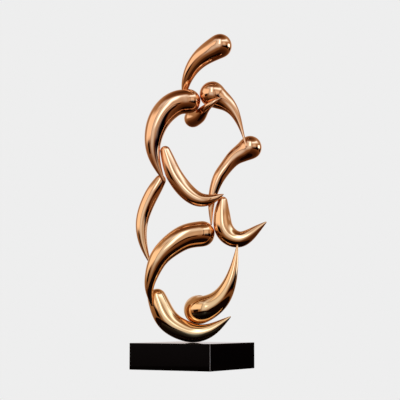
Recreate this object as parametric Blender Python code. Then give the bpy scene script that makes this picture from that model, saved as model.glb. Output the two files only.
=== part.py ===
"""Abstract metal sculpture: eleven polished drops, each closed and tapered, welded to each other above a plinth.

Every drop is the skin round a row of balls that shrink along a curved path, from a round head to a fine tip.
The drops keep their pose and proportions as shares of the sculpture's height. Each drop in turn slides along
its own direction until it is one weld gap from the piece that carries it, and where its tip is welded too,
the tip then bends over to its neighbour, so the touching places are worked out from the forms.
The frame has +Z up, its X and Y along the plinth's sides, and its origin under the middle of the plinth.
"""
from dataclasses import dataclass
from math import pi, radians

import bmesh
import bpy
import numpy as np

SCULPTURE_HEIGHT = 0.690
SCULPTURE_TURN = radians(30)
PLINTH_SIDE = 0.200
PLINTH_HEIGHT = 0.057
PLINTH_CHAMFER = 0.0012
WELD_GAP = 0.0003
PERCENT = SCULPTURE_HEIGHT / 100

# The rest is in percent of the sculpture's height, in shares of a drop's length, or a count.
TIP_RADIUS = 0.28
RING_SIDES = 16
BODY_RINGS = 21
HEAD_RINGS = 4
TIP_RINGS = 2
PATH_SAMPLES = 240
FINE_SAMPLES = 960
SLIDE_START = -6.0
TIP_START = -2.5
BEND_FROM = 0.35
MAX_MOVES = 2000
CLOSE_ENOUGH = 1e-4

RIGHT, BACK, UP = np.eye(3)
LEFT, FRONT, DOWN = -RIGHT, -BACK, -UP


@dataclass
class Drop:
    """One drop. Its lengths are percent of the sculpture's height, and its shares run from head 0 to tip 1."""

    name: str
    path: list
    radius: float
    head: float = 1.0
    widest: float = 0.0
    fullness: float = 1.0
    carried_by: str = "plinth"
    slide: tuple = tuple(DOWN)
    tip_on: str = ""
    tip_slide: tuple = tuple(DOWN)


DROPS = [
    Drop(
        "bottom_cradle",
        [(-11.5, 2.8, 14.2), (-10.3, 2.6, 11.2), (-8.1, 2.3, 7.4), (-3.9, 1.9, 4.4), (0.5, 1.4, 3.1),
         (5.1, 0.6, 3.9), (8.9, -0.4, 6.1), (11.7, -1.4, 8.1)],
        radius=3.60, head=0.83, widest=0.24, fullness=2,
        carried_by="plinth", slide=tuple(DOWN),
    ),
    Drop(
        "lower_arc",
        [(2.9, 0.4, 34.6), (-1.9, -0.4, 33.7), (-6.3, -1.3, 31.2), (-10.6, -1.9, 26.9),
         (-12.8, -1.7, 22.1), (-13.8, -1.2, 17.5), (-13.1, -0.1, 11.9)],
        radius=4.11, fullness=1.85,
        carried_by="bottom_cradle", slide=tuple(BACK),
    ),
    Drop(
        "horned_comma",
        [(9.7, -0.1, 45.0), (9.5, -0.1, 42.5), (9.5, -0.1, 39.9), (10.1, -0.1, 36.1),
         (12.5, -0.4, 33.4), (15.2, -0.9, 32.8), (17.7, -1.4, 33.8), (20.3, -2.3, 35.7),
         (23.2, -3.5, 37.9)],
        radius=3.07, head=0.45, widest=0.38, fullness=1.65,
        carried_by="lower_arc", slide=tuple(LEFT),
    ),
    Drop(
        "lower_comma",
        [(1.8, 3.3, 11.3), (3.0, 1.3, 11.4), (5.3, 0.3, 12.3), (8.6, -0.7, 14.7), (11.3, -1.7, 18.9),
         (13.2, -2.3, 25.1), (14.1, -2.5, 30.3)],
        radius=4.71,
        carried_by="bottom_cradle", slide=tuple(DOWN), tip_on="horned_comma", tip_slide=tuple(UP),
    ),
    Drop(
        "left_crescent",
        [(-10.5, 1.2, 51.9), (-12.9, 1.4, 48.0), (-15.0, 1.7, 43.6), (-16.3, 1.7, 39.1),
         (-16.5, 1.4, 35.2), (-15.8, 1.2, 31.0), (-13.7, 0.4, 25.2)],
        radius=2.31, head=0.76, widest=0.2, fullness=2,
        carried_by="lower_arc", slide=tuple(FRONT),
    ),
    Drop(
        "middle_cradle",
        [(-8.9, -1.2, 61.2), (-7.7, -1.2, 57.6), (-6.3, -1.2, 54.1), (-4.1, -1.3, 50.6),
         (-1.2, -1.6, 47.4), (2.3, -2.0, 45.4), (5.8, -2.3, 45.5), (9.5, -2.0, 47.0)],
        radius=2.72, head=0.58, widest=0.4, fullness=2.7,
        carried_by="horned_comma", slide=tuple(BACK),
    ),
    Drop(
        "right_drop",
        [(18.5, 2.3, 62.8), (16.0, 2.3, 61.2), (13.6, 2.2, 59.6), (10.9, 2.0, 56.6), (8.6, 1.7, 53.3),
         (7.3, 1.4, 50.3), (5.9, 1.0, 43.9), (5.9, 0.6, 37.4)],
        radius=2.10, head=1.94, widest=0.42, fullness=1.15,
        carried_by="middle_cradle", slide=tuple(FRONT), tip_on="lower_arc", tip_slide=tuple(DOWN),
    ),
    Drop(
        "upper_arc",
        [(-1.9, 0.6, 77.7), (-5.2, 0.3, 77.2), (-8.4, -0.1, 75.2), (-11.4, -0.7, 71.1),
         (-13.0, -1.2, 66.0), (-13.2, -1.2, 61.5), (-11.8, -0.9, 56.2), (-9.6, -0.7, 51.5)],
        radius=4.00, head=0.99, widest=0.2, fullness=1.45,
        carried_by="middle_cradle", slide=tuple(RIGHT), tip_on="left_crescent", tip_slide=tuple(BACK),
    ),
    Drop(
        "shoulder_drop",
        [(6.3, 1.2, 80.1), (8.5, 1.2, 78.7), (10.9, 0.9, 77.0), (12.8, 0.4, 74.9), (15.0, -0.4, 70.2),
         (17.1, -1.4, 62.6)],
        radius=4.21, fullness=0.55,
        carried_by="upper_arc", slide=tuple(LEFT), tip_on="right_drop", tip_slide=tuple(BACK),
    ),
    Drop(
        "inner_drop",
        [(0.0, 5.9, 73.3), (2.0, 2.6, 73.6), (3.7, -1.4, 74.8), (5.9, -4.0, 76.3), (9.0, -4.0, 78.2)],
        radius=2.95,
        carried_by="upper_arc", slide=tuple(FRONT), tip_on="shoulder_drop", tip_slide=tuple(BACK),
    ),
    Drop(
        "top_drop",
        [(8.7, -1.4, 95.6), (5.6, -0.9, 93.9), (2.1, 0.0, 91.4), (-0.6, 1.2, 88.1), (-2.2, 2.6, 84.5),
         (-2.7, 3.6, 82.0), (-2.5, 4.8, 77.6)],
        radius=3.91, fullness=1.15,
        carried_by="upper_arc", slide=tuple(FRONT),
    ),
]


@dataclass
class Balls:
    """The row of balls inside one drop, evenly spaced from its head to its tip."""

    centres: np.ndarray
    radii: np.ndarray

    def moved(self, way):
        return Balls(self.centres + way, self.radii)

    def bent(self, way):
        """The tip goes the whole way, and the bend fades out towards the head."""
        share = np.linspace(0, 1, len(self.radii))
        fade = np.clip((share - BEND_FROM) / (1 - BEND_FROM), 0, 1) ** 3
        return Balls(self.centres + fade[:, None] * way, self.radii)


def natural_spline(knots, values, at):
    """The natural cubic spline through the values at the knots, read at other places."""
    count = len(knots)
    gap = np.diff(knots)
    slope = np.diff(values, axis=0) / gap[:, None]
    system = np.eye(count)
    load = np.zeros((count, values.shape[1]))
    for i in range(1, count - 1):
        system[i, i - 1 : i + 2] = gap[i - 1], 2 * (gap[i - 1] + gap[i]), gap[i]
        load[i] = 6 * (slope[i] - slope[i - 1])
    bend = np.linalg.solve(system, load)
    i = np.clip(np.searchsorted(knots, at, side="right") - 1, 0, count - 2)
    before, after, span = (at - knots[i])[:, None], (knots[i + 1] - at)[:, None], gap[i][:, None]
    return (
        (bend[i] * after**3 + bend[i + 1] * before**3) / (6 * span)
        + (values[i] / span - bend[i] * span / 6) * after
        + (values[i + 1] / span - bend[i + 1] * span / 6) * before
    )


def smooth_path(points):
    """Evenly spaced places along the smooth curve through the points."""
    points = np.array(points, float)
    knots = np.concatenate([[0], np.cumsum(np.linalg.norm(np.diff(points, axis=0), axis=1))])
    fine = natural_spline(knots, points, np.linspace(0, knots[-1], FINE_SAMPLES))
    run = np.concatenate([[0], np.cumsum(np.linalg.norm(np.diff(fine, axis=0), axis=1))])
    even = np.linspace(0, run[-1], PATH_SAMPLES)
    return np.stack([np.interp(even, run, fine[:, axis]) for axis in range(3)], axis=1)


def ball_radii(drop):
    """The balls swell from the head to the widest place and then thin towards the tip."""
    share = np.linspace(0, 1, PATH_SAMPLES)
    rise = np.clip(share / drop.widest, 0, 1) if drop.widest else np.ones(PATH_SAMPLES)
    fall = np.clip((share - drop.widest) / (1 - drop.widest), 0, 1)
    swell = drop.head + (1 - drop.head) * rise * (2 - rise)
    taper = 1 - fall**drop.fullness if drop.fullness >= 1 else (1 - fall) ** (1 / drop.fullness)
    return TIP_RADIUS + (drop.radius - TIP_RADIUS) * swell * taper


def room_between(balls, other):
    """The shortest way between two skins, in percent of the height. The plinth's top is the level 0."""
    if other is None:
        return (balls.centres[:, 2] - balls.radii).min()
    apart = np.linalg.norm(balls.centres[:, None] - other.centres[None], axis=2)
    return (apart - balls.radii[:, None] - other.radii[None]).min()


def until_welded(room_at, start):
    """Goes on from the start by the room that is still left, until only the weld gap is left."""
    gap = WELD_GAP / PERCENT
    at = start
    for _ in range(MAX_MOVES):
        room = room_at(at) - gap
        if room < CLOSE_ENOUGH:
            break
        at += room
    return at


def settle(drop, settled):
    """Slides a drop onto the piece that carries it and bends its tip over to the one it is welded to."""
    balls = Balls(smooth_path(drop.path), ball_radii(drop))
    carrier, way = settled[drop.carried_by], np.array(drop.slide)
    balls = balls.moved(way * until_welded(lambda at: room_between(balls.moved(way * at), carrier), SLIDE_START))
    if drop.tip_on:
        target, way = settled[drop.tip_on], np.array(drop.tip_slide)
        balls = balls.bent(way * until_welded(lambda at: room_between(balls.bent(way * at), target), TIP_START))
    return balls


def rings_of(balls):
    """The circles of the skin as centre, radius and direction, from the head's cap to the tip's cap."""
    centres, radii = balls.centres, balls.radii
    spacing = np.linalg.norm(centres[1] - centres[0])
    along = np.gradient(centres, axis=0, edge_order=2)
    along /= np.linalg.norm(along, axis=1)[:, None]
    slope = np.gradient(radii, spacing, edge_order=2)
    rings = []
    for turn in np.arccos(slope[0]) * np.arange(HEAD_RINGS) / HEAD_RINGS:
        rings.append((centres[0] - along[0] * radii[0] * np.cos(turn), radii[0] * np.sin(turn), along[0]))
    for i in np.linspace(0, PATH_SAMPLES - 1, BODY_RINGS).round().astype(int):
        centre = centres[i] - along[i] * radii[i] * slope[i]
        rings.append((centre, radii[i] * np.sqrt(1 - slope[i] ** 2), along[i]))
    for turn in np.arccos(-slope[-1]) * np.arange(TIP_RINGS - 1, -1, -1) / TIP_RINGS:
        rings.append((centres[-1] + along[-1] * radii[-1] * np.cos(turn), radii[-1] * np.sin(turn), along[-1]))
    return rings


def circle(centre, radius, along):
    """The points of one ring, which starts at its back."""
    first = BACK - along * along.dot(BACK)
    first /= np.linalg.norm(first)
    second = np.cross(along, first)
    turns = 2 * pi * np.arange(RING_SIDES) / RING_SIDES
    return centre + radius * (np.cos(turns)[:, None] * first + np.sin(turns)[:, None] * second)


def drop_mesh(name, balls, origin):
    """The closed skin of a drop, its points in metres from the origin."""
    rings = rings_of(balls)
    shell = bmesh.new()
    poles = [shell.verts.new((rings[end][0] - origin) * PERCENT) for end in (0, -1)]
    hoops = [[shell.verts.new((point - origin) * PERCENT) for point in circle(*ring)] for ring in rings[1:-1]]
    for i in range(RING_SIDES):
        j = (i + 1) % RING_SIDES
        shell.faces.new((poles[0], hoops[0][j], hoops[0][i]))
        shell.faces.new((poles[1], hoops[-1][i], hoops[-1][j]))
        for near, far in zip(hoops, hoops[1:]):
            shell.faces.new((near[i], near[j], far[j], far[i]))
    bmesh.ops.recalc_face_normals(shell, faces=shell.faces)
    mesh = bpy.data.meshes.new(name)
    shell.to_mesh(mesh)
    shell.free()
    mesh.shade_smooth()
    return mesh


def make_material(name, colour, metallic, roughness):
    material = bpy.data.materials.new(name)
    material.use_nodes = True
    shader = material.node_tree.nodes["Principled BSDF"]
    shader.inputs["Base Color"].default_value = (*colour, 1)
    shader.inputs["Metallic"].default_value = metallic
    shader.inputs["Roughness"].default_value = roughness
    material.diffuse_color = (*colour, 1)
    return material


def make_stand():
    """The empty that carries the sculpture: on the plinth's top, turned against the plinth's sides."""
    stand = bpy.data.objects.new("sculpture_stand", None)
    stand.location = (0, 0, PLINTH_HEIGHT)
    stand.rotation_euler = (0, 0, SCULPTURE_TURN)
    bpy.context.collection.objects.link(stand)
    return stand


def make_drop(drop, balls, stand, material):
    """One drop's object, with its origin in the middle of its head."""
    origin = balls.centres[0]
    piece = bpy.data.objects.new(drop.name, drop_mesh(drop.name, balls, origin))
    piece.data.materials.append(material)
    piece.parent = stand
    piece.location = origin * PERCENT
    bpy.context.collection.objects.link(piece)


def make_plinth(material):
    """The square block, with a fine chamfer on all its edges."""
    block = bmesh.new()
    bmesh.ops.create_cube(block, size=1)
    bmesh.ops.scale(block, vec=(PLINTH_SIDE, PLINTH_SIDE, PLINTH_HEIGHT), verts=block.verts)
    mesh = bpy.data.meshes.new("plinth")
    block.to_mesh(mesh)
    block.free()
    mesh.materials.append(material)
    piece = bpy.data.objects.new("plinth", mesh)
    piece.location = (0, 0, PLINTH_HEIGHT / 2)
    chamfer = piece.modifiers.new("chamfer", "BEVEL")
    chamfer.width = PLINTH_CHAMFER
    chamfer.segments = 1
    bpy.context.collection.objects.link(piece)


def main():
    for old in list(bpy.data.objects):
        bpy.data.objects.remove(old)
    bronze = make_material("polished_bronze", (0.83, 0.48, 0.30), 1.0, 0.05)
    stone = make_material("black_stone", (0.010, 0.009, 0.009), 0.0, 0.08)
    make_plinth(stone)
    stand = make_stand()
    settled = {"plinth": None}
    for drop in DROPS:
        settled[drop.name] = settle(drop, settled)
        make_drop(drop, settled[drop.name], stand, bronze)


main()
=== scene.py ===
"""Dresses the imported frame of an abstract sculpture: eleven metal drops above a stone plinth.

Each drop gets a fine, seamless skin, swept through the rings of its solid. The plinth gets rounded
edges. The backdrop is pale. The metal mirrors a warm studio with soft panels and black flags, and
a dark table below.
"""

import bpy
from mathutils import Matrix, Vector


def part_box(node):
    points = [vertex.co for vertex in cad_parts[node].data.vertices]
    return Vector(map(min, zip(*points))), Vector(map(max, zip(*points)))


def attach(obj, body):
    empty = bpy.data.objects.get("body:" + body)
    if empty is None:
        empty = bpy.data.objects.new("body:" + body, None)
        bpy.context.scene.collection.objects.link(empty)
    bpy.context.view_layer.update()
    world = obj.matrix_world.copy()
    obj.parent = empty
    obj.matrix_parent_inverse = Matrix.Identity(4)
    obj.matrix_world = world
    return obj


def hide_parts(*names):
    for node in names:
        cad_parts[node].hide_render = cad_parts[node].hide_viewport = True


bl_info = {
    "name": "Polished Drop Sculpture",
    "version": (1, 0, 0),
    "blender": (4, 5, 0),
    "location": "View3D > Sidebar > Sculpture",
    "description": "Mirror-polished metal drops on a black stone plinth, in a pale studio",
    "category": "Add Mesh",
}

from math import pi, radians

import bmesh
import bpy
import numpy as np
from bpy.props import FloatProperty, FloatVectorProperty, IntProperty, PointerProperty
from mathutils import Matrix, Vector

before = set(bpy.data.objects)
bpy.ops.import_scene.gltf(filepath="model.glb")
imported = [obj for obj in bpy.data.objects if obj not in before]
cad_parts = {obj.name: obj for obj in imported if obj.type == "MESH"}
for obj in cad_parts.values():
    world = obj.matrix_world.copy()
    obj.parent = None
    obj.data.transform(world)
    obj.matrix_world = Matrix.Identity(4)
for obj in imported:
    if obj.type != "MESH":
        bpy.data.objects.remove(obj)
PLINTH = "plinth"
DROPS = sorted(set(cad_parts) - {PLINTH})

# Points nearer than this, in metres, are one point.
SAME_POINT = 2e-6
# Rings of a drop's mirror image that its spline goes on through, past each pole.
MIRRORED_RINGS = 4

# The materials' noises: cells per metre and levels of detail.
CLOUDS = (14, 3)
HAZE = (45, 4)
RIPPLES = (24, 1)
SCRATCHES = (900, 2)
STONE_POLISH = (30, 3)
STONE_SWELL = (25, 2)

# The bronze: the heights in metres between which its tone changes, the parts of the noises' ranges
# that show, the strength and tone of the clouds, and how the scratches are drawn out.
TONE_HEIGHTS = (0.15, 0.45)
CLOUD_RANGE = (0.35, 0.75)
CLOUD_STRENGTH = 0.16
CLOUD_TONE = 0.92
HAZE_RANGE = (0.4, 0.8)
SCRATCH_STRETCH = (1, 1, 0.04)

# The stone: its shine and roughness, its swell in metres, its crystals per metre, where they fade
# from heart to rim, and the shares of the edges' radius between which the painted edge highlight
# fades in.
STONE_IOR = 1.5
STONE_SHINE = 0.1
STONE_RANGE = (0.35, 0.75)
STONE_ROUGHNESS = (0.03, 0.08)
SWELL_HEIGHT = 0.00001
CRYSTALS_PER_METRE = 700
CRYSTAL_RANGE = (0.10, 0.35)
EDGE_HIGHLIGHT_FADE = (0.8, 0.5)

# The dark table's facets, its depth in metres below the plinth's underside, and its colour.
TABLE_SIDES = 96
TABLE_DEPTH = 0.002
TABLE_COLOUR = (0.012, 0.005, 0.003)

# The sockets of a Mix node that mixes colours.
MIX_SHARE, MIX_FIRST, MIX_SECOND, MIX_RESULT = 0, 6, 7, 2

# The studio as the metal sees it: degrees above the level, and the light from there.
WALLS = (
    (-90, (0.02, 0.007, 0.003)),
    (-50, (0.05, 0.018, 0.007)),
    (-30, (0.12, 0.048, 0.018)),
    (-12, (0.30, 0.17, 0.09)),
    (5, (0.42, 0.28, 0.175)),
    (46, (0.44, 0.29, 0.175)),
    (64, (0.20, 0.09, 0.036)),
    (90, (0.05, 0.018, 0.007)),
)
# Soft panels: degrees to the right of the camera and up, half the size, the softness of the edge,
# and the light. A black flag takes light away.
PANELS = (
    ((-10, 18), (18, 34), 12, (0.45, 0.66, 0.88)),
    ((-3, 28), (6, 19), 5, (1.30, 1.90, 2.60)),
    ((-20, -30), (26, 12), 8, (0.13, 0.09, 0.05)),
    ((-66, 18), (34, 18), 7, (0.78, 0.80, 0.82)),
    ((-26, 48), (38, 8), 6, (0.34, 0.48, 0.66)),
    ((58, 38), (47, 9), 7, (0.55, 0.80, 1.05)),
    ((58, 41), (34, 4), 4, (0.60, 1.00, 1.55)),
    ((36, 9), (20, 15), 6, (0.42, 0.46, 0.50)),
    ((96, 6), (13, 9), 3, (2.0, 2.6, 3.4)),
    ((-163, 14), (22, 20), 7, (0.32, 0.38, 0.45)),
    ((163, 8), (22, 15), 7, (0.42, 0.50, 0.60)),
    ((-30, 24), (1.2, 32), 1.2, (-0.55, -0.50, -0.45)),
    ((22, 6), (2.0, 24), 2.0, (-0.55, -0.50, -0.45)),
    ((62, -8), (34, 11), 6, (-0.38, -0.27, -0.17)),
    ((-60, -9), (14, 9), 1.5, (-0.37, -0.28, -0.19)),
    ((120, -9), (12, 9), 1.5, (-0.37, -0.24, -0.14)),
)


class DropSettings(bpy.types.PropertyGroup):
    """The fineness of the drops' skins."""

    sides: IntProperty(
        name="Sides", description="Faces round a drop", default=96, min=16, max=128,
    )
    steps: IntProperty(
        name="Steps", description="Steps along a drop for each ring of its solid",
        default=6, min=1, max=8,
    )


class BronzeSettings(bpy.types.PropertyGroup):
    """The polished bronze of the drops."""

    upper_colour: FloatVectorProperty(
        name="Upper Colour", description="Rose gold tone of the upper drops",
        subtype="COLOR", default=(0.86, 0.50, 0.28), min=0, max=1,
    )
    lower_colour: FloatVectorProperty(
        name="Lower Colour", description="Yellower tone of the drops near the plinth",
        subtype="COLOR", default=(0.88, 0.56, 0.28), min=0, max=1,
    )
    polish: FloatProperty(
        name="Polish", description="Roughness of the best polished places",
        default=0.01, min=0, max=1, subtype="FACTOR",
    )
    haze: FloatProperty(
        name="Haze", description="Roughness where the polish is a little worn",
        default=0.035, min=0, max=1, subtype="FACTOR",
    )
    ripple: FloatProperty(
        name="Ripple", description="Height of the slow ripple left by hand polishing",
        default=0.0006, subtype="DISTANCE",
    )
    scratch: FloatProperty(
        name="Scratch", description="Depth of the finest polishing scratches",
        default=0.0000008, subtype="DISTANCE",
    )


class StoneSettings(bpy.types.PropertyGroup):
    """The black stone of the plinth."""

    colour: FloatVectorProperty(
        name="Colour", description="Ground colour of the stone",
        subtype="COLOR", default=(0.0020, 0.0012, 0.0010), min=0, max=1,
    )
    fleck_colour: FloatVectorProperty(
        name="Fleck Colour", description="Colour of its fine crystals",
        subtype="COLOR", default=(0.005, 0.004, 0.004), min=0, max=1,
    )
    # A painted highlight: this light grey on the rounded upright edges stands in for the studio's
    # light mirrored in them, not a ground finish.
    edge_highlight_colour: FloatVectorProperty(
        name="Edge Colour", description="Colour of the finely ground upright edges",
        subtype="COLOR", default=(0.30, 0.275, 0.255), min=0, max=1,
    )
    edge_radius: FloatProperty(
        name="Edge Radius", description="Radius of the rounded edges",
        default=0.0014, subtype="DISTANCE",
    )
    edge_steps: IntProperty(
        name="Edge Steps", description="Facets over a rounded edge", default=5, min=1, max=12,
    )


class StageSettings(bpy.types.PropertyGroup):
    """The studio and its camera."""

    backdrop: FloatVectorProperty(
        name="Backdrop", description="Colour of the backdrop",
        subtype="COLOR", default=(0.855, 0.855, 0.855), min=0, max=1,
    )
    table_radius: FloatProperty(
        name="Table Radius", description="Radius of the dark table in the reflections",
        default=0.36, subtype="DISTANCE",
    )
    camera_turn: FloatProperty(
        name="Camera Turn", description="The camera's place round the sculpture",
        default=radians(30), subtype="ANGLE",
    )
    camera_distance: FloatProperty(
        name="Camera Distance", description="From the sculpture's middle",
        default=2.533, subtype="DISTANCE",
    )
    camera_height: FloatProperty(
        name="Camera Height", description="Above the plinth's underside",
        default=0.1065, subtype="DISTANCE",
    )
    camera_side: FloatProperty(
        name="Camera Side", description="The camera's shift to the right",
        default=0.0157, subtype="DISTANCE",
    )
    camera_pitch: FloatProperty(
        name="Camera Pitch", description="Upward tilt of the camera",
        default=radians(5.95), subtype="ANGLE",
    )
    focal_length: FloatProperty(
        name="Focal Length", description="In millimetres for a 36 mm sensor",
        default=103.5, min=10,
    )


class SculptureSettings(bpy.types.PropertyGroup):
    """All the settings of the sculpture."""

    drops: PointerProperty(type=DropSettings)
    bronze: PointerProperty(type=BronzeSettings)
    stone: PointerProperty(type=StoneSettings)
    stage: PointerProperty(type=StageSettings)


def ring_rows(node):
    """A row of x, y, z and radius for each ring of a drop's solid, from pole to pole."""
    skin = bmesh.new()
    skin.from_mesh(node.data)
    bmesh.ops.remove_doubles(skin, verts=skin.verts, dist=SAME_POINT)
    skin.verts.index_update()
    layer = [max(skin.verts, key=lambda vert: len(vert.link_edges))]
    seen, rows = set(), []
    while layer:
        points = np.array([vert.co for vert in layer])
        centre = points.mean(axis=0)
        rows.append([*centre, np.linalg.norm(points - centre, axis=1).mean()])
        seen.update(layer)
        around = {edge.other_vert(vert) for vert in layer for edge in vert.link_edges} - seen
        layer = sorted(around, key=lambda vert: vert.index)
    skin.free()
    return np.array(rows)


def smooth_rows(rows, steps):
    """The cubic spline through the rows.

    They go on past both poles as their mirror image, so the caps close round.
    """
    turned = rows * (1, 1, 1, -1)
    before_first = turned[MIRRORED_RINGS:0:-1]
    after_last = turned[-2 : -2 - MIRRORED_RINGS : -1]
    knots = np.concatenate([before_first, rows, after_last])
    system = np.eye(len(knots))
    load = np.zeros_like(knots)
    for i in range(1, len(knots) - 1):
        system[i, i - 1 : i + 2] = 1, 4, 1
        load[i] = 6 * (knots[i - 1] - 2 * knots[i] + knots[i + 1])
    bend = np.linalg.solve(system, load)
    places = MIRRORED_RINGS + np.linspace(0, len(rows) - 1, (len(rows) - 1) * steps + 1)
    i = places.astype(int)
    after = (places - i)[:, None]
    before = 1 - after
    return (
        knots[i] * before + knots[i + 1] * after
        + (bend[i] * (before**3 - before) + bend[i + 1] * (after**3 - after)) / 6
    )


def drop_tree():
    """The Geometry Nodes tree that sweeps a circle along a path, as wide as its ring_radius."""
    tree = bpy.data.node_groups.new("polished drop", "GeometryNodeTree")
    tree.is_modifier = True
    for name, kind in (
        ("Path", "Geometry"), ("Sides", "Int"), ("Same Point", "Float"), ("Metal", "Material"),
    ):
        tree.interface.new_socket(name, in_out="INPUT", socket_type="NodeSocket" + kind)
    tree.interface.new_socket("Drop", in_out="OUTPUT", socket_type="NodeSocketGeometry")
    nodes, link = tree.nodes, tree.links.new
    given = nodes.new("NodeGroupInput")
    path = nodes.new("GeometryNodeMeshToCurve")
    ring = nodes.new("GeometryNodeCurvePrimitiveCircle")
    ring.inputs["Radius"].default_value = 1.0
    radius = nodes.new("GeometryNodeInputNamedAttribute")
    radius.data_type = "FLOAT"
    radius.inputs["Name"].default_value = "ring_radius"
    sweep = nodes.new("GeometryNodeCurveToMesh")
    poles = nodes.new("GeometryNodeMergeByDistance")
    smooth = nodes.new("GeometryNodeSetShadeSmooth")
    whole = nodes.new("GeometryNodeRealizeInstances")
    metal = nodes.new("GeometryNodeSetMaterial")
    made = nodes.new("NodeGroupOutput")
    link(given.outputs["Path"], path.inputs["Mesh"])
    link(given.outputs["Sides"], ring.inputs["Resolution"])
    link(path.outputs["Curve"], sweep.inputs["Curve"])
    link(ring.outputs["Curve"], sweep.inputs["Profile Curve"])
    link(radius.outputs["Attribute"], sweep.inputs["Scale"])
    link(sweep.outputs["Mesh"], poles.inputs["Geometry"])
    link(given.outputs["Same Point"], poles.inputs["Distance"])
    link(poles.outputs["Geometry"], smooth.inputs["Geometry"])
    link(smooth.outputs["Geometry"], whole.inputs["Geometry"])
    link(whole.outputs["Geometry"], metal.inputs["Geometry"])
    link(given.outputs["Metal"], metal.inputs["Material"])
    link(metal.outputs["Geometry"], made.inputs["Drop"])
    return tree


def path_object(name, rows):
    """A line of edges through the rows, which carries their radii as ring_radius."""
    mesh = bpy.data.meshes.new(name)
    mesh.from_pydata(rows[:, :3], [(i, i + 1) for i in range(len(rows) - 1)], [])
    radii = mesh.attributes.new("ring_radius", "FLOAT", "POINT")
    radii.data.foreach_set("value", rows[:, 3].astype(np.float32))
    piece = bpy.data.objects.new(name, mesh)
    bpy.context.scene.collection.objects.link(piece)
    return piece


def make_plain(piece):
    """Turns a piece with live modifiers into a plain mesh whose faces point outwards."""
    finished = piece.evaluated_get(bpy.context.evaluated_depsgraph_get())
    mesh = bpy.data.meshes.new_from_object(finished)
    piece.modifiers.clear()
    piece.data = mesh
    skin = bmesh.new()
    skin.from_mesh(mesh)
    bmesh.ops.recalc_face_normals(skin, faces=skin.faces)
    skin.to_mesh(mesh)
    skin.free()


def make_drop(node, tree, metal, settings):
    """The fine skin of one drop."""
    piece = path_object(node.name + "_skin", smooth_rows(ring_rows(node), settings.steps))
    modifier = piece.modifiers.new("polished drop", "NODES")
    modifier.node_group = tree
    values = {"Sides": settings.sides, "Same Point": SAME_POINT, "Metal": metal}
    for socket in tree.interface.items_tree:
        if socket.name in values:
            modifier[socket.identifier] = values[socket.name]
    make_plain(piece)
    return piece


def make_plinth(settings, stone):
    """The square block in the solid's box, with rounded edges."""
    low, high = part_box(PLINTH)
    block = bmesh.new()
    bmesh.ops.create_cube(block, size=1)
    bmesh.ops.scale(block, vec=high - low, verts=block.verts)
    bmesh.ops.translate(block, vec=(low + high) / 2, verts=block.verts)
    bmesh.ops.bevel(
        block, geom=block.edges[:], affect="EDGES",
        offset=settings.edge_radius, segments=settings.edge_steps, profile=0.5,
    )
    bmesh.ops.recalc_face_normals(block, faces=block.faces)
    mesh = bpy.data.meshes.new("plinth_block")
    block.to_mesh(mesh)
    mesh.shade_smooth()
    # Normals weighted by area keep the wide faces flat and only the edges round.
    mesh.normals_split_custom_set_from_vertices([
        sum((face.normal * face.calc_area() for face in vert.link_faces), Vector()).normalized()
        for vert in block.verts
    ])
    block.free()
    mesh.materials.append(stone)
    piece = bpy.data.objects.new("plinth_block", mesh)
    bpy.context.scene.collection.objects.link(piece)
    return piece


def new_material(name):
    """A new material, its nodes and the function that links them."""
    material = bpy.data.materials.new(name)
    material.use_nodes = True
    return material, material.node_tree.nodes, material.node_tree.links.new


def maths(nodes, link, operation, *values):
    """The result of a Math node on sockets or numbers."""
    node = nodes.new("ShaderNodeMath")
    node.operation = operation
    for socket, value in zip(node.inputs, values):
        if isinstance(value, bpy.types.NodeSocket):
            link(value, socket)
        else:
            socket.default_value = value
    return node.outputs["Value"]


def noise(nodes, link, place, scale, detail, stretch=(1, 1, 1)):
    """Noise on the object's own coordinates. The scale is in cells per metre."""
    mapping = nodes.new("ShaderNodeMapping")
    mapping.inputs["Scale"].default_value = stretch
    pattern = nodes.new("ShaderNodeTexNoise")
    pattern.inputs["Scale"].default_value = scale
    pattern.inputs["Detail"].default_value = detail
    link(place.outputs["Object"], mapping.inputs["Vector"])
    link(mapping.outputs["Vector"], pattern.inputs["Vector"])
    return pattern.outputs["Fac"]


def spread(nodes, link, value, given, wanted, smooth=False):
    """The value, with its given range spread over the wanted one."""
    spreader = nodes.new("ShaderNodeMapRange")
    spreader.interpolation_type = "SMOOTHSTEP" if smooth else "LINEAR"
    for name, number in zip(("From Min", "From Max", "To Min", "To Max"), (*given, *wanted)):
        spreader.inputs[name].default_value = number
    link(value, spreader.inputs["Value"])
    return spreader.outputs["Result"]


def bump(nodes, link, height, distance, under=None):
    """A bump of the given height in metres, on top of the one under it."""
    bumper = nodes.new("ShaderNodeBump")
    bumper.inputs["Distance"].default_value = distance
    link(height, bumper.inputs["Height"])
    if under:
        link(under, bumper.inputs["Normal"])
    return bumper.outputs["Normal"]


def blend_colour(nodes, link, share, first, second):
    """Mixes two colours by a share."""
    mixer = nodes.new("ShaderNodeMix")
    mixer.data_type = "RGBA"
    for place, colour in ((MIX_FIRST, first), (MIX_SECOND, second)):
        if isinstance(colour, bpy.types.NodeSocket):
            link(colour, mixer.inputs[place])
        else:
            mixer.inputs[place].default_value = (*colour, 1)
    link(share, mixer.inputs[MIX_SHARE])
    return mixer.outputs[MIX_RESULT]


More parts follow.
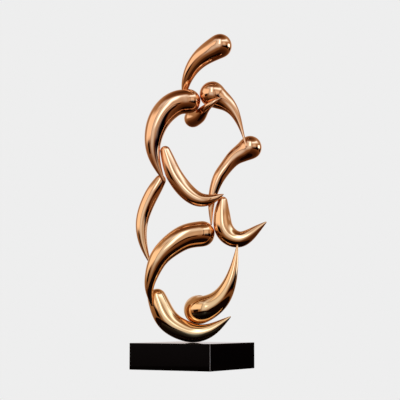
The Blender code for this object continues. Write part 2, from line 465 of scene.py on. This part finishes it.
def polished_bronze(settings):
    """Polished bronze: a redder tone above, faint clouds, slow ripples and hairline scratches."""
    material, nodes, link = new_material("polished_bronze")
    shader = nodes["Principled BSDF"]
    shader.inputs["Metallic"].default_value = 1.0
    place = nodes.new("ShaderNodeTexCoord")
    axes = nodes.new("ShaderNodeSeparateXYZ")
    link(place.outputs["Object"], axes.inputs["Vector"])
    rise = spread(nodes, link, axes.outputs["Z"], TONE_HEIGHTS, (0.0, 1.0))
    tone = blend_colour(nodes, link, rise, settings.lower_colour, settings.upper_colour)
    cloud_tone = [CLOUD_TONE * part for part in settings.upper_colour]
    cloud_noise = noise(nodes, link, place, *CLOUDS)
    clouds = spread(nodes, link, cloud_noise, CLOUD_RANGE, (0.0, CLOUD_STRENGTH))
    link(blend_colour(nodes, link, clouds, tone, cloud_tone), shader.inputs["Base Color"])
    haze_noise = noise(nodes, link, place, *HAZE)
    haze = spread(nodes, link, haze_noise, HAZE_RANGE, (settings.polish, settings.haze))
    link(haze, shader.inputs["Roughness"])
    ripples = bump(nodes, link, noise(nodes, link, place, *RIPPLES), settings.ripple)
    scratches = noise(nodes, link, place, *SCRATCHES, stretch=SCRATCH_STRETCH)
    link(bump(nodes, link, scratches, settings.scratch, ripples), shader.inputs["Normal"])
    return material


def edge_highlight_mask(nodes, link, place, radius):
    """A mask for the painted edge highlight: 1 on the plinth's upright edges and 0 on its wide
    faces.
    """
    axes = nodes.new("ShaderNodeSeparateXYZ")
    link(place.outputs["Object"], axes.inputs["Vector"])
    near = []
    for axis, reach in zip("XY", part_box(PLINTH)[1]):
        fade = [reach - share * radius for share in EDGE_HIGHLIGHT_FADE]
        size = maths(nodes, link, "ABSOLUTE", axes.outputs[axis])
        near.append(spread(nodes, link, size, fade, (0.0, 1.0)))
    return maths(nodes, link, "MULTIPLY", *near)


def black_stone(settings):
    """Polished black stone: fine crystals, a slightly uneven polish, and a painted highlight of
    light grey on the upright edges.
    """
    material, nodes, link = new_material("black_stone")
    shader = nodes["Principled BSDF"]
    shader.inputs["IOR"].default_value = STONE_IOR
    shader.inputs["Specular IOR Level"].default_value = STONE_SHINE
    place = nodes.new("ShaderNodeTexCoord")
    crystals = nodes.new("ShaderNodeTexVoronoi")
    crystals.inputs["Scale"].default_value = CRYSTALS_PER_METRE
    link(place.outputs["Object"], crystals.inputs["Vector"])
    flecks = spread(nodes, link, crystals.outputs["Distance"], CRYSTAL_RANGE, (1.0, 0.0))
    ground = blend_colour(nodes, link, flecks, settings.colour, settings.fleck_colour)
    # Painted highlight: light grey on the rounded upright edges, standing in for the studio's
    # light mirrored there.
    edges = edge_highlight_mask(nodes, link, place, settings.edge_radius)
    colour = blend_colour(nodes, link, edges, ground, settings.edge_highlight_colour)
    link(colour, shader.inputs["Base Color"])
    polish = noise(nodes, link, place, *STONE_POLISH)
    link(spread(nodes, link, polish, STONE_RANGE, STONE_ROUGHNESS), shader.inputs["Roughness"])
    swell = noise(nodes, link, place, *STONE_SWELL)
    link(bump(nodes, link, swell, SWELL_HEIGHT), shader.inputs["Normal"])
    return material


def make_table(stage):
    """The dark table that the metal's undersides mirror. The camera doesn't see it."""
    material, nodes, _ = new_material("dark_table")
    shader = nodes["Principled BSDF"]
    shader.inputs["Base Color"].default_value = (*TABLE_COLOUR, 1)
    shader.inputs["Roughness"].default_value = 1.0
    shader.inputs["Specular IOR Level"].default_value = 0.0
    disc = bmesh.new()
    bmesh.ops.create_circle(
        disc, cap_ends=True, segments=TABLE_SIDES, radius=stage.table_radius,
        matrix=Matrix.Translation((0, 0, -TABLE_DEPTH)),
    )
    mesh = bpy.data.meshes.new("dark_table")
    disc.to_mesh(mesh)
    disc.free()
    mesh.materials.append(material)
    table = bpy.data.objects.new("dark_table", mesh)
    table.visible_camera = table.visible_diffuse = table.visible_shadow = False
    bpy.context.scene.collection.objects.link(table)


def panel(nodes, link, turn, rise, place, half_size, softness, light):
    """One soft panel of the studio's light.

    Its middle, half its size and the softness of its edges are in degrees.
    """
    inside = []
    for value, middle, half in ((turn, place[0], half_size[0]), (rise, place[1], half_size[1])):
        size = maths(nodes, link, "ABSOLUTE", maths(nodes, link, "SUBTRACT", value, middle))
        fade = (half - softness, half + softness)
        inside.append(spread(nodes, link, size, fade, (1.0, 0.0), smooth=True))
    lit = nodes.new("ShaderNodeVectorMath")
    lit.operation = "SCALE"
    lit.inputs[0].default_value = light
    link(maths(nodes, link, "MULTIPLY", *inside), lit.inputs["Scale"])
    return lit.outputs["Vector"]


def wall_light(nodes, link, rise):
    """The light of the walls at a height in degrees."""
    lowest, highest = WALLS[0][0], WALLS[-1][0]
    ramp = nodes.new("ShaderNodeValToRGB")
    link(spread(nodes, link, rise, (lowest, highest), (0.0, 1.0)), ramp.inputs["Fac"])
    stops = ramp.color_ramp.elements
    stops.remove(stops[1])
    stops[0].position, stops[0].color = 0.0, (*WALLS[0][1], 1)
    for height, colour in WALLS[1:]:
        stops.new((height - lowest) / (highest - lowest)).color = (*colour, 1)
    return ramp.outputs["Color"]


def make_world(stage):
    """Pale all round for the eye. In reflections it is a warm studio with soft panels."""
    world = bpy.data.worlds.new("studio")
    world.use_nodes = True
    nodes, link = world.node_tree.nodes, world.node_tree.links.new
    backdrop = nodes["Background"]
    backdrop.inputs["Color"].default_value = (*stage.backdrop, 1)
    place = nodes.new("ShaderNodeTexCoord")
    turned = nodes.new("ShaderNodeVectorRotate")
    turned.rotation_type = "Z_AXIS"
    turned.inputs["Angle"].default_value = pi - stage.camera_turn
    link(place.outputs["Generated"], turned.inputs["Vector"])
    axes = nodes.new("ShaderNodeSeparateXYZ")
    link(turned.outputs["Vector"], axes.inputs["Vector"])
    x, y, z = axes.outputs
    turn = maths(nodes, link, "MULTIPLY", maths(nodes, link, "ARCTAN2", x, y), -180 / pi)
    rise = maths(nodes, link, "MULTIPLY", maths(nodes, link, "ARCSINE", z), 180 / pi)
    light = wall_light(nodes, link, rise)
    for each in PANELS:
        total = nodes.new("ShaderNodeVectorMath")
        link(light, total.inputs[0])
        link(panel(nodes, link, turn, rise, *each), total.inputs[1])
        light = total.outputs["Vector"]
    unlit = nodes.new("ShaderNodeVectorMath")
    unlit.operation = "MAXIMUM"
    link(light, unlit.inputs[0])
    studio = nodes.new("ShaderNodeBackground")
    link(unlit.outputs["Vector"], studio.inputs["Color"])
    ray = nodes.new("ShaderNodeLightPath")
    either = nodes.new("ShaderNodeMixShader")
    link(ray.outputs["Is Camera Ray"], either.inputs["Fac"])
    link(studio.outputs["Background"], either.inputs[1])
    link(backdrop.outputs["Background"], either.inputs[2])
    link(either.outputs["Shader"], nodes["World Output"].inputs["Surface"])
    bpy.context.scene.world = world


def make_camera(stage):
    """The photograph's camera: low, and tilted up a little."""
    camera = bpy.data.objects.new("camera", bpy.data.cameras.new("camera"))
    camera.data.lens = stage.focal_length
    place = Vector((stage.camera_side, -stage.camera_distance, stage.camera_height))
    camera.location = Matrix.Rotation(stage.camera_turn, 3, "Z") @ place
    camera.rotation_euler = (pi / 2 + stage.camera_pitch, 0, stage.camera_turn)
    bpy.context.scene.collection.objects.link(camera)
    bpy.context.scene.camera = camera


class SCULPTURE_OT_drops(bpy.types.Operator):
    """Lay a fine polished skin over every drop"""

    bl_idname = "sculpture.drops"
    bl_label = "Polished Drops"

    def execute(self, context):
        settings = context.scene.sculpture
        tree, metal = drop_tree(), polished_bronze(settings.bronze)
        for name in DROPS:
            piece = make_drop(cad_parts[name], tree, metal, settings.drops)
            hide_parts(name)
            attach(piece, "root")
        return {"FINISHED"}


class SCULPTURE_OT_plinth(bpy.types.Operator):
    """Make the plinth of black stone with rounded edges"""

    bl_idname = "sculpture.plinth"
    bl_label = "Stone Plinth"

    def execute(self, context):
        settings = context.scene.sculpture.stone
        piece = make_plinth(settings, black_stone(settings))
        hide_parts(PLINTH)
        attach(piece, "root")
        return {"FINISHED"}


class SCULPTURE_OT_stage(bpy.types.Operator):
    """Set up the pale backdrop, the studio in the reflections, the dark table and the camera"""

    bl_idname = "sculpture.stage"
    bl_label = "Studio"

    def execute(self, context):
        stage = context.scene.sculpture.stage
        context.scene.view_settings.view_transform = "Standard"
        make_table(stage)
        make_world(stage)
        make_camera(stage)
        return {"FINISHED"}


class SCULPTURE_PT_sidebar(bpy.types.Panel):
    """The sculpture's settings and makers"""

    bl_label = "Polished Drop Sculpture"
    bl_space_type = "VIEW_3D"
    bl_region_type = "UI"
    bl_category = "Sculpture"

    def draw(self, context):
        for label, group, operator in (
            ("Drops", "drops", "sculpture.drops"),
            ("Bronze", "bronze", None),
            ("Stone", "stone", "sculpture.plinth"),
            ("Studio", "stage", "sculpture.stage"),
        ):
            box = self.layout.box()
            box.label(text=label)
            settings = getattr(context.scene.sculpture, group)
            for name in settings.__annotations__:
                box.prop(settings, name)
            if operator:
                box.operator(operator)


CLASSES = (
    DropSettings, BronzeSettings, StoneSettings, StageSettings, SculptureSettings,
    SCULPTURE_OT_drops, SCULPTURE_OT_plinth, SCULPTURE_OT_stage, SCULPTURE_PT_sidebar,
)


def register():
    for each in CLASSES:
        bpy.utils.register_class(each)
    bpy.types.Scene.sculpture = PointerProperty(type=SculptureSettings)


def unregister():
    del bpy.types.Scene.sculpture
    for each in reversed(CLASSES):
        bpy.utils.unregister_class(each)


def main():
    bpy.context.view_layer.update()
    register()
    bpy.ops.sculpture.drops()
    bpy.ops.sculpture.plinth()
    bpy.ops.sculpture.stage()


if __name__ == "__main__":
    main()
